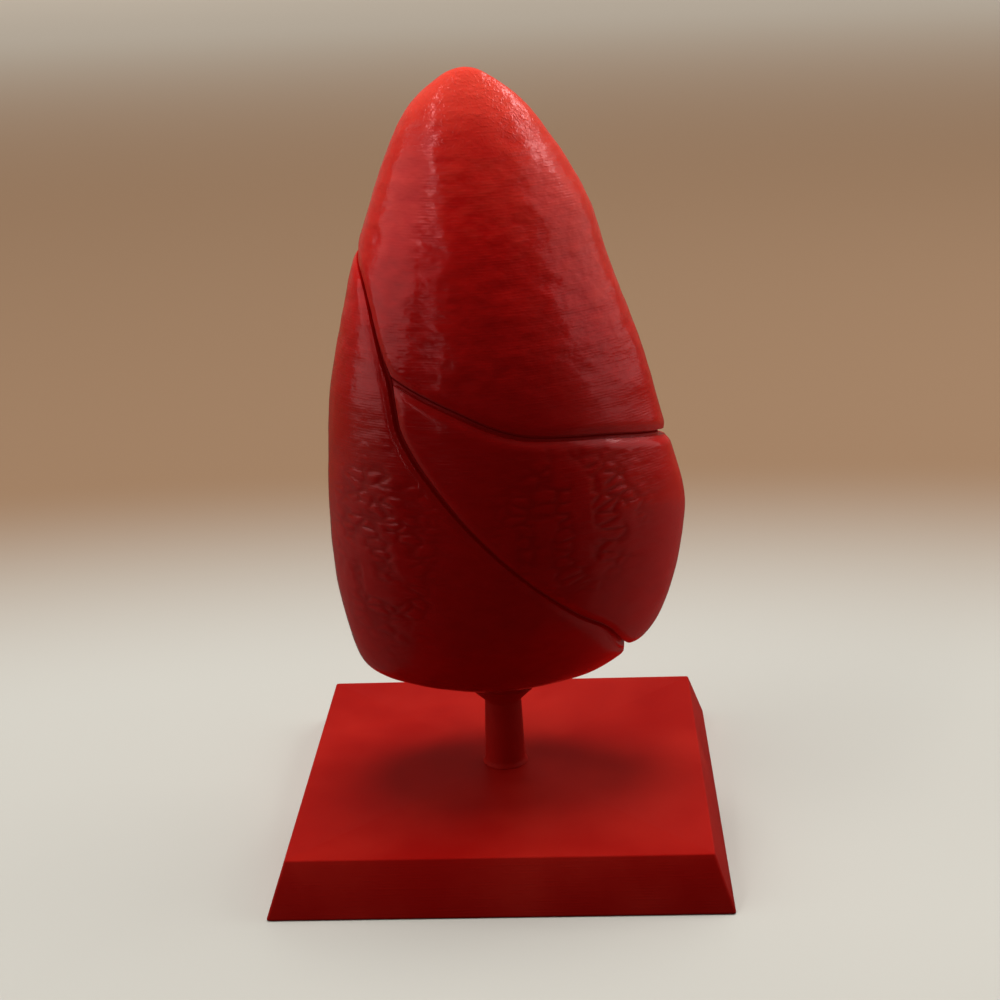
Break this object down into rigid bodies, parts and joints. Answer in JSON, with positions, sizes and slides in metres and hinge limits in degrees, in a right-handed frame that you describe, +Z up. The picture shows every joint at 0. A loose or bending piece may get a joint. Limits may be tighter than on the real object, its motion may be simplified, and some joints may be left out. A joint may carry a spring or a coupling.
{
  "type": "anatomical lung model",
  "caption": "Right lung model on a post and a bevelled square plinth, cut by its fissures into lobes that lift apart.",
  "frame": {"origin": "middle of the plinth's underside", "axes": "+Z up the post to the apex, +X towards the lung's front edge, -Y towards its outer side, +Y towards its hilum"},
  "size_m": [0.09, 0.09, 0.1544],
  "materials": {
    "red_print": "semi-gloss translucent red print with fine layer lines",
    "steel": "ground",
    "nickel": "bright nickel plate"
  },
  "bodies": {
    "base": {"base_plinth": "red_print", "stand_post": "red_print", "post_screw": "steel"},
    "dowel": {"post_dowel": "steel"},
    "lower": {"lower_lobe": "red_print", "middle_dowel_high": "steel", "middle_dowel_low": "steel", "lower_lobe_magnet_high": "nickel", "lower_lobe_magnet_low": "nickel", "lower_lobe_magnet_back": "nickel", "lower_lobe_bronchus": "red_print", "inferior_pulmonary_vein": "red_print"},
    "middle": {"middle_lobe": "red_print", "upper_dowel_front": "steel", "upper_dowel_back": "steel", "middle_lobe_magnet_front": "nickel", "middle_lobe_magnet_rear": "nickel", "middle_lobe_magnet_high": "nickel", "middle_lobe_magnet_low": "nickel", "middle_lobe_bronchus": "red_print"},
    "upper": {"upper_lobe": "red_print", "upper_lobe_magnet_front": "nickel", "upper_lobe_magnet_rear": "nickel", "upper_lobe_magnet_back": "nickel", "upper_lobe_bronchus": "red_print", "pulmonary_artery": "red_print", "superior_pulmonary_vein": "red_print"}
  },
  "joints": [
    {"name": "lung_swivel", "type": "hinge", "parent": "base", "child": "dowel", "pos_m": [0, 0, 0.0316], "axis": [0, 0, 1], "continuous": true},
    {"name": "lung_lift", "type": "slide", "parent": "dowel", "child": "lower", "axis": [0, 0, 1], "range_m": [0, 0.02]},
    {"name": "middle_lobe_pull", "type": "slide", "parent": "lower", "child": "middle", "axis": [0.7071, 0, 0.7071], "range_m": [0, 0.02]},
    {"name": "upper_lobe_lift", "type": "slide", "parent": "middle", "child": "upper", "axis": [0, 0, 1], "range_m": [0, 0.025]}
  ]
}
